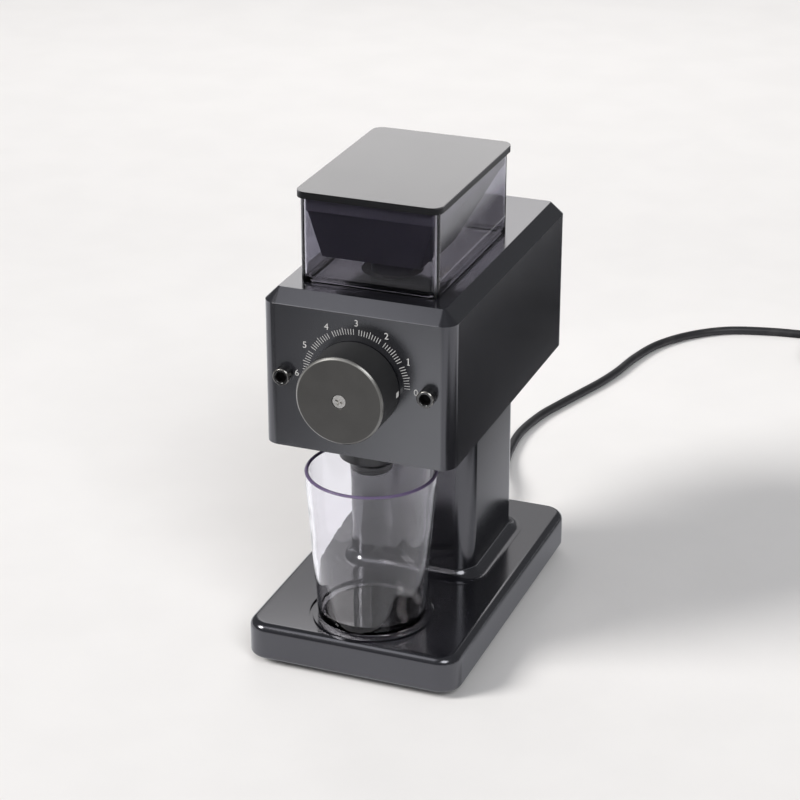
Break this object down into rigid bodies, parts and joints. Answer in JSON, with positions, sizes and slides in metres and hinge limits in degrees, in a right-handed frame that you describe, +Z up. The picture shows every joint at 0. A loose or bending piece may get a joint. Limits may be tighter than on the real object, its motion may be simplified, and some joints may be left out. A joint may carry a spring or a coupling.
{
  "type": "coffee grinder",
  "caption": "Electric burr grinder for coffee: a square head on a column, with a grind dial in front, a smoky hopper on top and a clear cup under its spout.",
  "frame": {"origin": "on the floor under the rubber feet, in the middle of the grinder's outline without its cord", "axes": "+X to the user's right, +Y to the back, +Z up; the dial faces -Y"},
  "size_m": [0.313, 0.6193, 0.2824],
  "materials": {
    "black_shell": "satin black coating",
    "black_plastic": "fine matt",
    "dial_black": "satin, with a bright front edge",
    "rubber": "matt",
    "cord_jacket": "smooth jacket",
    "steel": "turned",
    "black_steel": "black oxide",
    "cast_grey": "cast",
    "motor_steel": "plated",
    "copper": "enamelled wire",
    "brass": "turned",
    "board_green": "solder mask",
    "smoke_clear": "smoky clear",
    "smoke_dark": "smoky clear, darker",
    "seal_grey": "translucent silicone",
    "cup_glass": "clear"
  },
  "bodies": {
    "frame": {"base_plate": "black_shell", "bottom_cover": "black_plastic", "rubber_feet": "rubber", "cover_screws": "steel", "power_board": "board_green", "column": "black_shell", "column_screws": "steel", "head_shell": "black_shell", "head_screws": "steel", "rear_cover": "black_shell", "rear_screws": "steel", "cap_screws": "black_steel", "grind_chamber": "cast_grey", "chute": "black_plastic", "throat_seal": "rubber", "front_bearing": "steel", "rear_bearing": "steel", "motor_can": "motor_steel", "end_bell": "cast_grey", "motor_screws": "steel", "stator_core": "motor_steel", "windings": "copper", "spindle_bush": "brass", "switch_housing": "black_plastic", "strain_relief": "rubber", "power_cord": "cord_jacket", "cord_coil": "cord_jacket", "cord_tie": "rubber", "plug_body": "rubber", "plug_blades": "brass"},
    "carrier": {"burr_carrier": "cast_grey", "outer_burr": "steel"},
    "rotor": {"drive_shaft": "steel", "rotor_core": "motor_steel", "inner_burr": "steel", "burr_bolt": "steel", "feed_auger": "cast_grey", "cooling_fan": "black_plastic"},
    "dial": {"dial_knob": "dial_black", "dial_screw": "steel", "adjust_spindle": "steel"},
    "hopper": {"hopper": "smoke_clear", "hopper_funnel": "smoke_dark"},
    "lid": {"lid": "black_shell", "lid_seal": "seal_grey"},
    "cup": {"cup": "cup_glass"},
    "rocker": {"switch_rocker": "black_plastic"}
  },
  "joints": [
    {"name": "dial_turn", "type": "hinge", "parent": "frame", "child": "dial", "pos_m": [0, -0.10435, 0.1806], "axis": [0, -1, 0], "range_deg": [0, 180]},
    {"name": "carrier_slide", "type": "slide", "parent": "frame", "child": "carrier", "axis": [0, 1, 0], "range_m": [0, 0.00121]},
    {"name": "burr_spin", "type": "hinge", "parent": "frame", "child": "rotor", "pos_m": [0, -0.00435, 0.1806], "axis": [0, 1, 0], "continuous": true},
    {"name": "hopper_lift", "type": "slide", "parent": "frame", "child": "hopper", "axis": [0, 0, 1], "range_m": [0, 0.06]},
    {"name": "lid_lift", "type": "slide", "parent": "hopper", "child": "lid", "axis": [0, 0, 1], "range_m": [0, 0.08]},
    {"name": "cup_pull", "type": "slide", "parent": "frame", "child": "cup", "axis": [0, -1, 0], "range_m": [0, 0.13]},
    {"name": "switch_rock", "type": "hinge", "parent": "frame", "child": "rocker", "pos_m": [-0.0565, 0.04605, 0.1706], "axis": [0, 0, 1], "range_deg": [0, 14]}
  ],
  "couplings": [
    {"joint": "carrier_slide", "follows": "dial_turn", "m_per_rad": 0.00038197}
  ]
}
